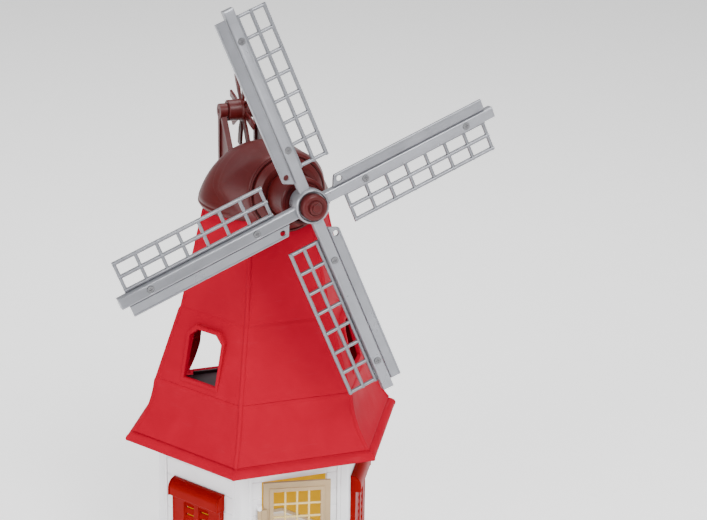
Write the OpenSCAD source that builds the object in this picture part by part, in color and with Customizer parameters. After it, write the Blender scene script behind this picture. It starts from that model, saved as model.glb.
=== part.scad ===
// Toy windmill: a six-sided house with a door and two shutters, a flared
// tower open at the back, a domed cap, four lattice sails and a small tail fan.
// The origin is on the ground on the tower's axis. The front faces -Y and +Z is up.

/* [House] */
// Radius of the house at its corner posts
house_r = 92.6; // [80:0.1:100]
// Height of the eaves above the ground
eaves_h = 125; // [112:0.5:150]
// Thickness of the outer boards
wall_t = 3.5; // [2:0.1:5]
// Thickness of the inner lining
lining_t = 2; // [1:0.1:3]
// Height of the ring that the walls stand on
foot_h = 4; // [2:0.5:8]
// Width of each leg of a corner post
post_w = 9.5; // [6:0.1:11]
// How far the corner posts stand out from the boards
post_proud = 0.8; // [0.4:0.1:2]

/* [Door] */
// Clear width of the doorway
door_w = 56; // [44:0.5:60]
// Height of the lintel above the ground
door_h = 108.5; // [90:0.5:112]
// Thickness of the door leaf
door_t = 2.5; // [1.6:0.1:3.5]
// Gap round the leaf in its opening
door_gap = 0.4; // [0.2:0.1:1]
// Angle at which the leaf stands open
door_angle = 11; // [0:1:60]
// Width of the window in the leaf
pane_w = 39; // [24:0.5:42]
// Height of the window in the leaf
pane_h = 46; // [30:0.5:60]
// Radius of the hinge pin
pin_r = 1; // [0.8:0.05:1.5]
// Radius of the hinge barrel
knuckle_r = 1.8; // [1.6:0.05:2.4]
// Length of the hinge barrel
knuckle_len = 56; // [30:1:64]
// Height of the hinge barrel's lower end
knuckle_z = 29; // [20:1:40]

/* [Shutters] */
// Width of a shutter
shutter_w = 54; // [44:0.5:60]
// Height of a shutter below its box
shutter_h = 60; // [45:1:65]
// Height of a shutter's lower edge
shutter_z = 20; // [12:1:30]
// Thickness of a shutter
shutter_t = 4.5; // [3:0.1:6]
// Depth of the rounded box over a shutter
box_depth = 9; // [6:0.5:12]
// Height of the rounded box over a shutter
box_h = 15; // [12:0.5:20]
// Width of the wall opening behind a shutter
hatch_w = 34; // [30:0.5:40]
// Height of the wall opening behind a shutter
hatch_h = 52; // [40:1:56]
// Spacing of the louvre slots
slot_pitch = 6.5; // [5:0.1:9]

/* [Tower] */
// Radius of the tower at the eaves' corners
eaves_r = 120; // [112:0.5:130]
// Height of the upright rim at the eaves
rim_h = 6.5; // [4:0.5:10]
// Height of the flared skirt
skirt_h = 53; // [45:0.5:60]
// Radius at the top of the skirt
skirt_r = 94; // [88:0.5:98]
// Height of the middle storey
middle_h = 60; // [56:0.5:70]
// Radius at the top of the middle storey
middle_r = 72; // [66:0.5:76]
// Height of the top storey
top_h = 81; // [70:0.5:90]
// Radius at the top of the tower
top_r = 52; // [49:0.5:54]
// Step in the wall at each storey
storey_step = 0.8; // [0.3:0.1:2]
// Thickness of the tower's walls
shell_t = 2.4; // [1.6:0.1:3]
// Width of the rib along each corner
rib_w = 3; // [2:0.1:4]
// How far the ribs stand out
rib_proud = 0.3; // [0.1:0.1:1]
// Height of the upper floor's top above the eaves
floor_rise = 20; // [14:0.5:24]
// Thickness of the upper floor
floor_t = 3; // [2:0.1:4]
// Height of the lip along the floor's back edge
lip_h = 3; // [2:0.1:5]

/* [Tower windows] */
// Width of a tower window
window_w = 34.5; // [26:0.5:36]
// Height of a tower window
window_h = 40.5; // [30:0.5:42]
// Height of a window's sill above the middle storey's foot
window_rise = 7.5; // [6:0.5:10]
// Width of the window's sloped top corners
chamfer_w = 7; // [4:0.5:9]
// Height of the window's sloped top corners
chamfer_h = 6; // [4:0.5:9]
// Thickness of the hood round a window
hood_t = 3; // [2:0.1:3.5]
// How far a hood stands out at its top
hood_out = 4.5; // [3:0.1:8]

/* [Cap] */
// Radius of the cap's brim
brim_r = 54.4; // [53.5:0.1:60]
// Height of the dome above the brim's lower edge
dome_h = 52; // [46:0.5:60]
// Angle at which the dome's round starts, which makes it more or less pointed
dome_start = 20; // [0:1:35]
// Thickness of the dome
dome_t = 2.5; // [1.6:0.1:4]
// Height of the brim's slanted lower edge
brim_h = 5; // [3:0.5:8]
// Radius of the cap's neck at its front
neck_r = 32; // [30:0.5:34]
// Angle at which the neck's sides widen towards the dome
neck_flare = 18; // [5:1:25]
// Radius of the neck's arch where it is widest
neck_wide = 46; // [40:1:48]
// Outer radius of the bevelled ring
ring_r = 28.5; // [24:0.5:29.5]
// Thickness of the bevelled ring
ring_t = 8; // [5:0.5:10]
// Radius of the shaft's barrel
barrel_r = 18.5; // [14:0.5:20]
// Length of the shaft's barrel
barrel_len = 32; // [24:0.5:36]

/* [Sails] */
// Distance of the hub's front from the tower's axis
hub_reach = 114; // [110:0.5:130]
// Height of the hub above the brim
hub_rise = 31.3; // [27:0.1:36]
// Tilt of the shaft
shaft_tilt = 5.9; // [4:0.1:8]
// Turn of the sails at rest
sail_turn = 21.8; // [0:0.1:45]
// Radius of a sail's tip
sail_r = 163.8; // [140:0.5:175]
// Width of a stock
stock_w = 8.6; // [7:0.1:10]
// Depth of a stock
stock_t = 8; // [6:0.1:10]
// Distance from a stock's middle to the lattice's outer edge
lattice_w = 30; // [24:0.5:36]
// Radius at which the lattice starts
lattice_r0 = 28.9; // [26:0.1:34]
// Length of the lattice
lattice_len = 126.9; // [110:0.1:130]
// Width of a lattice bar
bar_w = 2.8; // [2:0.1:4]
// Cells along a lattice
cells = 7; // [5:1:9]
// Distance from a stock's middle to the board's outer edge
board_w = 13.6; // [10:0.1:16]
// Thickness of the board
board_t = 2.4; // [1.6:0.1:3]
// Radius of the shaft
shaft_r = 4; // [3:0.1:6]
// Radius of the hub
hub_r = 13.4; // [12:0.1:16]
// Radius of the nose cap
nose_r = 10.2; // [8:0.1:12]

/* [Tail fan] */
// Distance of the fan's foremost blade tip behind the tower's axis
fan_back = 29.5; // [28:0.5:36]
// Height of the fan's lowest blade tip above the brim
fan_lift = 28.5; // [26:0.5:36]
// Radius of the fan
fan_r = 34; // [28:0.5:35]
// Number of blades
blades = 8; // [6:1:10]
// Width of a blade
blade_w = 6.5; // [5:0.5:10]
// Pitch of the blades
blade_pitch = 5; // [0:1:35]
// Radius of the fan's hub
fan_hub_r = 8.8; // [7:0.1:10]
// Distance between the middles of the two frames
frame_gap = 31; // [29:0.1:40]
// Thickness of a frame
frame_t = 4.5; // [3:0.1:6]
// Width of a frame's legs
leg_w = 4.2; // [3:0.1:6]
// Radius of the fan's axle
axle_r = 1.8; // [1.2:0.1:2.5]

/* [Hidden] */
$fn = 96;
k30 = cos(30);
seat = 0.1;        // hairline between pieces that rest against each other
run = 0.05;        // radial clearance of a pin in its bore
cut = 1;           // how far a cutter reaches past a face
small_fn = 32;     // facets drawn on small rounds

// heights above the ground
skirt_top = eaves_h + skirt_h;
middle_top = skirt_top + middle_h;
tower_top = middle_top + top_h;
floor_z = eaves_h + floor_rise;
brim_z = tower_top + seat;
hub_z = brim_z + hub_rise;

// house
wall_a = house_r * k30;                 // distance of the posts' faces from the axis
board_a = wall_a - post_proud;          // distance of the boards' faces
lining_a = board_a - wall_t - seat;
room_a = lining_a - lining_t;
wall_z = foot_h + seat;
foot_in = 0.4;                          // how far the ring shows inside the lining
wall_top = floor_z - floor_t - seat;
boards_w = house_r - 2 * (post_w + seat);
jamb_w = (boards_w - door_w) / 2;

// door
leaf_w = door_w - 2 * door_gap;
leaf_bottom = foot_h + 0.8;
leaf_top = door_h - door_gap;
leaf_out = 1.2;                         // how far the leaf stands out from the boards
pin_side = 3;                           // how far the pin stands beside the doorway
pin_x = -door_w / 2 - pin_side;
pin_y = -(board_a + leaf_out + 2);
ear_h = 4;
ear_gap = 0.3;                          // room between the hinge barrel and its ears
pane_top = door_h - 8.5;
pane_rim = 3;
pane_rim_out = 0.8;

// shutters
louvre_w = 10;
louvre_in = 3.2;
slot_h = 1.8;
shutter_rim = 4;                        // plain edge above and below the louvres
recess_t = 1.8;
slots = floor((shutter_h - 2 * shutter_rim) / slot_pitch);
hatch_z = shutter_z + (shutter_h - hatch_h) / 2;

// tower
flare_steps = 8;
function skirt_radius(h) =
    let (line = eaves_r + (skirt_r - eaves_r) * h / skirt_h)
    line - (eaves_r - skirt_r) * 0.22 * sin(180 * h / skirt_h);
skirt_line = concat([[eaves_r, 0]],
    [for (i = [0 : flare_steps]) let (h = rim_h + (skirt_h - rim_h) * i / flare_steps)
        [skirt_radius(h), h]]);
shell_h = shell_t / k30;                // wall thickness measured along a corner's radius
upper_line = [
    [skirt_r - storey_step, 0],
    [middle_r, middle_h],
    [middle_r - storey_step, middle_h],
    [top_r, middle_h + top_h]];
rear_h = floor_z - floor_t - eaves_h;   // the rear of the skirt stops below the floor
floor_r = skirt_radius(floor_z - eaves_h) - shell_h - 3 * seat;
sill_z = skirt_top + window_rise;
function middle_a(z) = k30 * (skirt_r - storey_step
    + (middle_r - skirt_r + storey_step) * (z - skirt_top) / middle_h);

// cap
dome_z = brim_z + brim_h;
dome_steps = 14;
ledge_r = 38;
ledge_t = 3;
barrel_front = -18;                     // front of the barrel, along the shaft
neck_w = barrel_front - barrel_len - ring_t;
neck_len = hub_reach + neck_w;

// sails
collar_r = 12.5;
hub_out = 2.5;
cup_wall = 1.8;                         // wall of the cup that holds the nose cap
cup_depth = 3;
lattice_t = 2.8;
lattice_front = -6.4;
screw_r = 2.7;
screw_depth = 1.8;                      // depth of the round pocket that holds a screw
screw_at = [47.6, 138.4];

// tail fan
fan_y = fan_back + fan_r;
fan_z = brim_z + fan_lift + fan_r;
boss_r = 6.3;
boss_len = 6.5;
boss_gap = 0.5;                         // room between the hub and the bosses beside it
fan_hub_len = frame_gap - boss_len - 2 * boss_gap;
fan_plane = 1.6;                        // the blades stand a little to the right of the middle

// ---------- shared shapes ----------

// A slice of the plan between two corners, its sides moved in by a margin
module wedge(margin, h = tower_top + cut) {
    reach = 2 * eaves_r;
    linear_extrude(h) polygon([
        [0, -2 * margin],
        [reach / 2, -reach * k30 - 2 * margin],
        [-reach / 2, -reach * k30 - 2 * margin]]);
}

// A flat outline drawn as distance from the axis against height, carried across a face
module across(width) {
    rotate([90, 0, -90]) linear_extrude(width, center = true) children();
}

// A strip of constant thickness behind a line of [corner radius, height] points
module strip(line, z0, thick, scale_by = k30) {
    outer = [for (p = line) [p[0] * scale_by, z0 + p[1]]];
    inner = [for (i = [len(line) - 1 : -1 : 0])
        [line[i][0] * scale_by - thick, z0 + line[i][1]]];
    polygon(concat(outer, inner));
}

// A box that is centred on X and starts at a distance from the axis on the front side
module slab(width, out, thick, z, h) {
    translate([-width / 2, -out, z]) cube([width, thick, h]);
}

// ---------- house ----------

module base_ring() {
    color("white") linear_extrude(foot_h) difference() {
        circle(r = house_r, $fn = 6);
        circle(r = (room_a - foot_in) / k30, $fn = 6);
    }
}

module boards(width = boards_w, x = 0, z = wall_z, top = wall_top) {
    translate([x, 0, 0]) slab(width, board_a, wall_t, z, top - z);
}

module ear(z) {
    translate([pin_x, pin_y, z]) cylinder(r = knuckle_r, h = ear_h);
    translate([pin_x - knuckle_r, pin_y, z])
        cube([2 * knuckle_r, -pin_y - board_a + cut, ear_h]);
}

module front_wall() {
    jamb_x = (door_w + jamb_w) / 2;
    color("white") {
        boards(jamb_w, jamb_x);
        difference() {
            union() {
                boards(jamb_w, -jamb_x);
                ear(knuckle_z - ear_h - ear_gap);
                ear(knuckle_z + knuckle_len + ear_gap);
            }
            translate([pin_x, pin_y, 0]) cylinder(r = pin_r + run, h = eaves_h, $fn = small_fn);
        }
    }
}

module front_lintel() {
    color("white") boards(door_w - 2 * seat, 0, door_h);
}

module hatch(depth_from, depth) {
    slab(hatch_w, depth_from, depth, hatch_z, hatch_h);
}

module side_wall(turn) {
    color("white") rotate([0, 0, turn]) difference() {
        boards();
        hatch(board_a + cut, wall_t + 2 * cut);
    }
}

module plain_wall(turn) {
    color("white") rotate([0, 0, turn]) boards();
}

module corner_posts() {
    post_t = wall_t + post_proud;
    side = [-0.5, k30];
    inward = [-k30, -0.5];
    tip = [house_r, 0];
    outer_end = tip + post_w * side;
    inner_end = outer_end + post_t * inward;
    color("white") for (turn = [0 : 60 : 300])
        rotate([0, 0, turn]) translate([0, 0, wall_z]) linear_extrude(wall_top - wall_z) polygon([
            tip, outer_end, inner_end, [house_r - post_t / k30, 0],
            [inner_end[0], -inner_end[1]], [outer_end[0], -outer_end[1]]]);
}

module lining_panel() {
    intersection() {
        slab(2 * house_r, lining_a, lining_t, wall_z, wall_top - wall_z);
        wedge(seat);
    }
}

module inner_lining() {
    color("goldenrod") {
        difference() {
            lining_panel();
            slab(door_w, lining_a + cut, lining_t + 2 * cut, 0, door_h);
        }
        for (turn = [-120, 120, 180]) rotate([0, 0, turn]) lining_panel();
    }
}

module side_linings() {
    color("goldenrod") for (turn = [-60, 60]) rotate([0, 0, turn]) difference() {
        lining_panel();
        hatch(lining_a + cut, lining_t + 2 * cut);
    }
}

module shutter(turn) {
    front = board_a + seat + shutter_t;
    color("red") rotate([0, 0, turn]) difference() {
        slab(shutter_w, front, shutter_t, shutter_z, shutter_h);
        for (side = [-1, 1]) {
            x = side * (louvre_in + louvre_w / 2);
            translate([x, 0, 0])
                slab(louvre_w + 1.6, front + cut, cut + recess_t,
                    shutter_z + shutter_rim, shutter_h - 2 * shutter_rim);
            for (i = [0 : slots - 1])
                translate([x, 0, 0])
                    slab(louvre_w, front + cut, shutter_t + 2 * cut,
                        shutter_z + shutter_rim + 2 + i * slot_pitch, slot_h);
        }
    }
}

module shutter_boxes() {
    back = board_a + seat;
    low = shutter_z + shutter_h + seat;
    round_z = low + box_h - box_depth;
    color("red") for (turn = [-60, 60]) rotate([0, 0, turn]) across(shutter_w + 2) {
        translate([back, low]) square([box_depth, box_h - box_depth]);
        intersection() {
            translate([back, round_z]) circle(r = box_depth);
            translate([back, round_z]) square(box_depth);
        }
    }
}

// ---------- door ----------

module door_leaf() {
    leaf_y = -(board_a + leaf_out);
    color("tan") translate([pin_x, pin_y, 0]) rotate([0, 0, -door_angle])
        translate([-pin_x, -pin_y, 0]) {
            difference() {
                union() {
                    translate([-leaf_w / 2, leaf_y, leaf_bottom])
                        cube([leaf_w, door_t, leaf_top - leaf_bottom]);
                    translate([-pane_w / 2 - pane_rim, leaf_y - pane_rim_out,
                            pane_top - pane_h - pane_rim])
                        cube([pane_w + 2 * pane_rim, door_t, pane_h + 2 * pane_rim]);
                    translate([pin_x, pin_y - knuckle_r / 2, knuckle_z])
                        cube([2 * pin_side, leaf_y - pin_y + knuckle_r / 2 + door_t / 2,
                            knuckle_len]);
                }
                translate([-pane_w / 2, leaf_y - 2 * cut, pane_top - pane_h])
                    cube([pane_w, door_t + 4 * cut, pane_h]);
                translate([pin_x - cut, leaf_y, 0])
                    cube([cut + pin_side + door_gap, door_t + cut, eaves_h]);
            }
            translate([pin_x, pin_y, knuckle_z]) cylinder(r = knuckle_r, h = knuckle_len);
            translate([pin_x, pin_y, knuckle_z - ear_h])
                cylinder(r = pin_r, h = knuckle_len + 2 * ear_h, $fn = small_fn);
        }
}

// ---------- tower ----------

module skirt_face(turn) {
    color("crimson") rotate([0, 0, turn]) intersection() {
        across(2 * eaves_r) strip(skirt_line, eaves_h, shell_t);
        wedge(rib_w / 2 + seat);
    }
}

module skirt_rear() {
    color("crimson") rotate([0, 0, 180]) intersection() {
        across(2 * eaves_r) intersection() {
            strip(skirt_line, eaves_h, shell_t);
            translate([0, eaves_h]) square([eaves_r, rear_h]);
        }
        wedge(rib_w / 2 + seat);
    }
}

module upper_face(turn) {
    rotate([0, 0, turn]) intersection() {
        across(2 * eaves_r) strip(upper_line, skirt_top + seat, shell_t);
        wedge(rib_w / 2 + seat);
    }
}

module window_outline(grow = 0) {
    w = window_w / 2 + grow;
    polygon([
        [-w, -grow], [w, -grow],
        [w, window_h - chamfer_h + grow / 2], [w - chamfer_w, window_h + grow],
        [chamfer_w - w, window_h + grow], [-w, window_h - chamfer_h + grow / 2]]);
}

module window_prism(grow = 0) {
    translate([0, 0, sill_z]) rotate([90, 0, 0])
        linear_extrude(eaves_r) window_outline(grow);
}

module tower_wall(turn) {
    color("crimson") upper_face(turn);
}

module tower_window_wall(turn) {
    color("crimson") difference() {
        upper_face(turn);
        rotate([0, 0, turn]) window_prism();
    }
}

module hood() {
    low = sill_z - hood_t;
    high = sill_z + window_h + hood_t;
    difference() {
        intersection() {
            across(2 * window_w) polygon([
                [middle_a(low) + seat, low], [middle_a(low) + 0.8, low],
                [middle_a(high) + hood_out, high], [middle_a(high) + seat, high]]);
            window_prism(hood_t);
        }
        window_prism();
    }
}

module window_hoods() {
    color("crimson") for (turn = [-60, 60]) rotate([0, 0, turn]) hood();
}

module hip_ribs() {
    rib_line = concat(
        [for (p = skirt_line) [p[0] + rib_proud, p[1]]],
        [for (p = upper_line) [p[0] + rib_proud, p[1] + skirt_h]]);
    color("crimson") for (turn = [0 : 60 : 300])
        rotate([0, 0, 90 + turn]) rotate([90, 0, -90])
            linear_extrude(rib_w, center = true)
                strip(rib_line, eaves_h, shell_h + rib_proud, 1);
}

module upper_floor() {
    back = room_a;
    color("saddlebrown") {
        intersection() {
            translate([0, 0, floor_z - floor_t])
                cylinder(r = floor_r, h = floor_t, $fn = 6);
            translate([-eaves_r, -eaves_r, 0]) cube([2 * eaves_r, eaves_r + back, eaves_h * 2]);
        }
        translate([-house_r / 2 + 6, back - 2, floor_z - 0.01])
            cube([house_r - 12, 2, lip_h]);
    }
}

// ---------- cap ----------

// Outline of the dome from its axis: a slanted brim under a rounded crown
function dome_outline(out) =
    let (wide = brim_r / cos(dome_start) + out)
    let (high = (dome_h - brim_h) / (1 - sin(dome_start)) + out)
    let (middle = brim_z + dome_h + out - high)
    concat(
        [[0, brim_z - out], [brim_r - 2 + out, brim_z - out]],
        [for (i = [0 : dome_steps]) let (a = dome_start + (90 - dome_start) * i / dome_steps)
            [wide * cos(a), middle + high * sin(a)]]);

module dome_solid(out = 0) {
    rotate_extrude() polygon(dome_outline(out));
}

module cap_dome() {
    color("saddlebrown") difference() {
        dome_solid();
        translate([0, 0, brim_z - cut]) cylinder(r = ledge_r, h = ledge_t + 2 * cut);
        intersection() {
            dome_solid(-dome_t);
            translate([0, 0, brim_z + ledge_t])
                cylinder(r = 2 * brim_r, h = dome_h);
        }
    }
}

// Places its children with local +Z out along the shaft and local +Y up
module on_shaft(along = 0) {
    translate([0, -hub_reach, hub_z]) rotate([90 - shaft_tilt, 0, 0])
        translate([0, 0, along]) children();
}

// The neck's arch: it widens towards the back under a level top
module neck_arch(shrink = 0, more = 0) {
    spread = tan(neck_flare);
    top_room = 0.5;
    intersection() {
        translate([0, 0, -more])
            cylinder(r1 = neck_r - shrink + (neck_len + more) * spread,
                r2 = neck_r - shrink - more * spread, h = neck_len + 2 * more);
        translate([0, neck_r + top_room - neck_wide, -2 * cut])
            cylinder(r = neck_wide - shrink, h = neck_len + 4 * cut);
    }
}

module cap_neck() {
    color("saddlebrown") difference() {
        on_shaft(neck_w - seat - neck_len) difference() {
            neck_arch();
            neck_arch(dome_t, cut);
        }
        dome_solid(seat);
        translate([-house_r, -house_r, 0]) cube([2 * house_r, 2 * house_r, brim_z]);
    }
}

module shaft_housing() {
    bevel = 4.1;
    flange_t = 1.6;
    all_len = ring_t + barrel_len;
    color("saddlebrown") on_shaft(neck_w) difference() {
        union() {
            cylinder(r = neck_r, h = flange_t);
            cylinder(r = ring_r, h = ring_t - bevel);
            translate([0, 0, ring_t - bevel])
                cylinder(r1 = ring_r, r2 = ring_r - bevel, h = bevel);
            cylinder(r = barrel_r, h = all_len);
        }
        translate([0, 0, -cut]) cylinder(r = shaft_r + run, h = all_len + 2 * cut);
    }
}

// ---------- sails ----------

module sail_hub() {
    color("silver") on_shaft() {
        difference() {
            translate([0, 0, -stock_t]) cylinder(r = hub_r, h = stock_t + hub_out);
            translate([0, 0, hub_out - cup_depth])
                cylinder(r = hub_r - cup_wall, h = cup_depth + cut);
        }
        translate([0, 0, barrel_front + 0.5])
            cylinder(r = collar_r, h = -barrel_front - 0.5 - stock_t / 2);
        translate([0, 0, neck_w - 2]) cylinder(r = shaft_r, h = -neck_w + 2 - stock_t / 2);
    }
}

module nose_cap() {
    side_h = cup_depth + 3.5;
    edge = 2;
    step_h = 1.6;
    nut_h = 1.4;
    color("saddlebrown") on_shaft(hub_out - cup_depth + seat) {
        cylinder(r = nose_r, h = side_h);
        translate([0, 0, side_h]) cylinder(r1 = nose_r, r2 = nose_r - edge, h = edge);
        translate([0, 0, side_h + edge]) cylinder(r = nose_r / 2, h = step_h);
        translate([0, 0, side_h + edge + step_h]) cylinder(r = nose_r / 3, h = nut_h, $fn = 6);
    }
}

module on_sail(number) {
    on_shaft() rotate([0, 0, sail_turn + 90 * (number - 1)]) children();
}

module sail(number) {
    board_in = 22;
    board_out = 157.6;
    board_top = -1.8;
    color("silver") on_sail(number) difference() {
        union() {
            translate([-stock_w / 2, 0, -stock_t]) cube([stock_w, sail_r, stock_t]);
            translate([0, 0, board_top - board_t]) linear_extrude(board_t) polygon([
                [0, board_in - 6], [-board_w + 4, board_in - 1], [-board_w, board_in + 4],
                [-board_w, board_out], [0, board_out]]);
        }
        translate([0, 0, -stock_t - cut]) cylinder(r = hub_r + seat, h = stock_t + 2 * cut);
        translate([-9.3, 28.7, -stock_t]) cylinder(r = 2.4, h = stock_t, $fn = small_fn);
        for (r = screw_at)
            translate([0, r, -screw_depth]) cylinder(r = screw_r + seat, h = 2, $fn = small_fn);
    }
}

module lattice(number) {
    inner = stock_w / 2 + seat;
    bar_back = lattice_front - lattice_t;
    pitch = (lattice_len - bar_w) / cells;
    column = (lattice_w - inner - bar_w) / 2;
    color("silver") on_sail(number) translate([0, 0, bar_back]) {
        for (i = [0 : 2])
            translate([inner + i * column, lattice_r0, 0])
                cube([bar_w, lattice_len, lattice_t]);
        for (i = [0 : cells])
            translate([inner, lattice_r0 + i * pitch, 0])
                cube([lattice_w - inner, bar_w, lattice_t]);
    }
}

module sail_screws() {
    color("silver") for (number = [1 : 4], r = screw_at)
        on_sail(number) translate([0, r, seat - screw_depth]) difference() {
            cylinder(r = screw_r, h = screw_depth - 0.4, $fn = small_fn);
            for (turn = [0, 90]) rotate([0, 0, turn]) translate([-1.5, -0.35, screw_depth - 1])
                cube([3, 0.7, cut]);
        }
}

// ---------- tail fan ----------

// A straight bar between two points of a frame, given as [distance back, height]
module bar(from, to, wide) {
    run_y = to[0] - from[0];
    run_z = to[1] - from[1];
    translate(from) rotate(atan2(run_z, run_y)) translate([0, -wide / 2])
        square([norm([run_y, run_z]), wide]);
}

module fan_frame(side) {
    foot_z = dome_z + 4;
    rear_y = fan_y + 4;
    web_t = 1.6;
    knee = [fan_y - 30, foot_z + 12];
    difference() {
        translate([side * frame_gap / 2, 0, 0]) rotate([90, 0, 90]) {
            linear_extrude(frame_t, center = true) {
                bar([rear_y, foot_z - leg_w / 2], [rear_y, fan_z], leg_w);
                bar([0, foot_z], [rear_y, foot_z], leg_w);
                bar(knee, [fan_y, fan_z - 1], leg_w);
            }
            linear_extrude(web_t, center = true)
                polygon([knee, [fan_y, fan_z - 2], [rear_y, fan_z - 2], [rear_y, foot_z],
                    [knee[0], foot_z]]);
            translate([fan_y, fan_z, -boss_len / 2]) cylinder(r = boss_r, h = boss_len);
        }
        dome_solid(seat);
        cylinder(r = brim_r / 2, h = fan_z);
        translate([-frame_gap, fan_y, fan_z]) rotate([0, 90, 0])
            cylinder(r = axle_r + run, h = 2 * frame_gap);
    }
}

module fan_frames() {
    color("saddlebrown") for (side = [-1, 1]) fan_frame(side);
}

module fan_wheel() {
    axle_len = frame_gap + boss_len - 1;
    arm_t = 2.6;
    blade_t = 2.2;
    plate_t = 1.8;
    first_blade = 33;                   // angle of a blade from straight up towards the rear
    color("saddlebrown") translate([0, fan_y, fan_z]) rotate([0, 90, 0]) {
        translate([0, 0, -fan_hub_len / 2]) {
            cylinder(r = fan_hub_r * 0.8, h = fan_hub_len);
            cylinder(r = fan_hub_r, h = fan_hub_len / 2 + fan_plane - arm_t);
        }
        translate([0, 0, fan_plane - plate_t / 2]) cylinder(r = fan_hub_r + 1.2, h = plate_t);
        translate([0, 0, -axle_len / 2]) cylinder(r = axle_r, h = axle_len);
        translate([0, 0, fan_plane]) for (i = [0 : blades - 1])
                rotate([0, 0, 180 - first_blade + 360 * i / blades]) {
            translate([fan_hub_r / 2, -arm_t / 2, -arm_t / 2])
                cube([fan_r * 0.6, arm_t, arm_t]);
            rotate([blade_pitch, 0, 0]) linear_extrude(blade_t, center = true) polygon([
                [fan_hub_r + 5, -arm_t / 2], [fan_hub_r + 9, -blade_w / 2],
                [fan_r - 1.2, -blade_w / 2], [fan_r - 1.2, blade_w / 2],
                [fan_hub_r + 9, blade_w / 2], [fan_hub_r + 5, arm_t / 2]]);
        }
    }
}

// ---------- nodes ----------

front_wall();
front_lintel();
side_wall(-60);  // left_wall
side_wall(60);  // right_wall
plain_wall(-120);  // rear_left_wall
plain_wall(120);  // rear_right_wall
plain_wall(180);  // rear_wall
base_ring();
corner_posts();
inner_lining();
side_linings();
shutter(-60);  // left_shutter
shutter(60);  // right_shutter
shutter_boxes();
upper_floor();
skirt_face(0);  // skirt_front
skirt_face(-60);  // skirt_left
skirt_face(60);  // skirt_right
skirt_face(-120);  // skirt_rear_left
skirt_face(120);  // skirt_rear_right
skirt_rear();
tower_wall(0);  // tower_front
tower_window_wall(-60);  // tower_left
tower_window_wall(60);  // tower_right
tower_wall(-120);  // tower_rear_left
tower_wall(120);  // tower_rear_right
window_hoods();
hip_ribs();
cap_dome();
cap_neck();
shaft_housing();
fan_frames();
sail_hub();
nose_cap();
sail(1);  // sail_1
sail(2);  // sail_2
sail(3);  // sail_3
sail(4);  // sail_4
lattice(1);  // lattice_1
lattice(2);  // lattice_2
lattice(3);  // lattice_3
lattice(4);  // lattice_4
sail_screws();
fan_wheel();
door_leaf();
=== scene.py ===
"""Looks of the toy windmill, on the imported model. Sizes are millimetres until a mesh is made."""
import bmesh
import bpy
import math
import numpy as np
from mathutils import Matrix, Vector


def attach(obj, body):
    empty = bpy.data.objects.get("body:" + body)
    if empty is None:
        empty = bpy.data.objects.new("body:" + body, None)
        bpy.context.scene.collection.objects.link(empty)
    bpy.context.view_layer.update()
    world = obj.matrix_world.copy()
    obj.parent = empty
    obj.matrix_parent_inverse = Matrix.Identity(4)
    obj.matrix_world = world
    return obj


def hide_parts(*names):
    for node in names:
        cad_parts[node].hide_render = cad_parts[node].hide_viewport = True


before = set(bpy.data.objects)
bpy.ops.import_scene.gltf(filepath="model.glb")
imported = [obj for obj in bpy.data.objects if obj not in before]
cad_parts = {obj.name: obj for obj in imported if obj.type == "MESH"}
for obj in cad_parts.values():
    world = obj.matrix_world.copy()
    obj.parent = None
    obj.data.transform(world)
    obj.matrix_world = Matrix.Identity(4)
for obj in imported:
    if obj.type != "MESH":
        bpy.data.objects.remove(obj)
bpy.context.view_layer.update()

MM = 0.001
HALF = math.tan(math.radians(30))       # half a hexagon's side for each unit of its apothem
K30 = math.cos(math.radians(30))

# house
house_r, foot_h, post_w, post_proud = 92.6, 4.0, 9.5, 0.8
wall_t, lining_t, seat = 3.5, 2.0, 0.1
board_a = house_r * K30 - post_proud
lining_a = board_a - wall_t - seat
room_a = lining_a - lining_t
wall_z, wall_top = foot_h + seat, 141.9
boards_w = house_r - 2 * (post_w + seat)
board_pitch, groove_w, groove_d = 15.0, 1.5, 0.8
# door and shutters
door_w, door_h, door_t, door_gap, door_angle = 56.0, 108.5, 2.5, 0.4, 11.0
leaf_out, pin_side, pane_w, pane_h, pane_top = 1.2, 3.0, 39.0, 46.0, 100.0
leaf_lift, pane_rim, pane_rim_out = 0.8, 3.0, 0.8
pin_x, pin_y = -door_w / 2 - pin_side, -(board_a + leaf_out + 2)
knuckle_r, knuckle_z, knuckle_len, ear_h = 1.8, 29.0, 56.0, 4.0
shutter_w, shutter_h, shutter_z, shutter_t = 54.0, 60.0, 20.0, 4.5
box_depth, box_h, hatch_w, hatch_h, hatch_z = 9.0, 15.0, 34.0, 52.0, 24.0
louvre_in, louvre_w, slot_pitch, slot_h, slots, recess_t = 3.2, 10.0, 6.5, 1.8, 8, 1.8
hatch = (-hatch_w / 2, hatch_z, hatch_w / 2, hatch_z + hatch_h)
# tower
eaves_h, eaves_r, rim_h, skirt_h, skirt_r = 125.0, 120.0, 6.5, 53.0, 94.0
middle_h, middle_r, top_h, top_r, storey_step = 60.0, 72.0, 81.0, 52.0, 0.8
shell_t, rib_w, rib_proud, floor_z, floor_t, flare = 2.4, 3.0, 0.3, 145.0, 3.0, 0.22
skirt_top = eaves_h + skirt_h
middle_top = skirt_top + middle_h
window_w, window_h, sill_z, chamfer_w, chamfer_h, hood_t, hood_out = 34.5, 40.5, 185.5, 7.0, 6.0, 3.0, 4.5
opening_at = ((142, 38.8), (172, 31.4), (228, 31.4), (314, 21.5))   # height and half width of the open back
turns = {"front": 0, "left": -60, "right": 60, "rear_left": -120, "rear_right": 120, "rear": 180}
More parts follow.
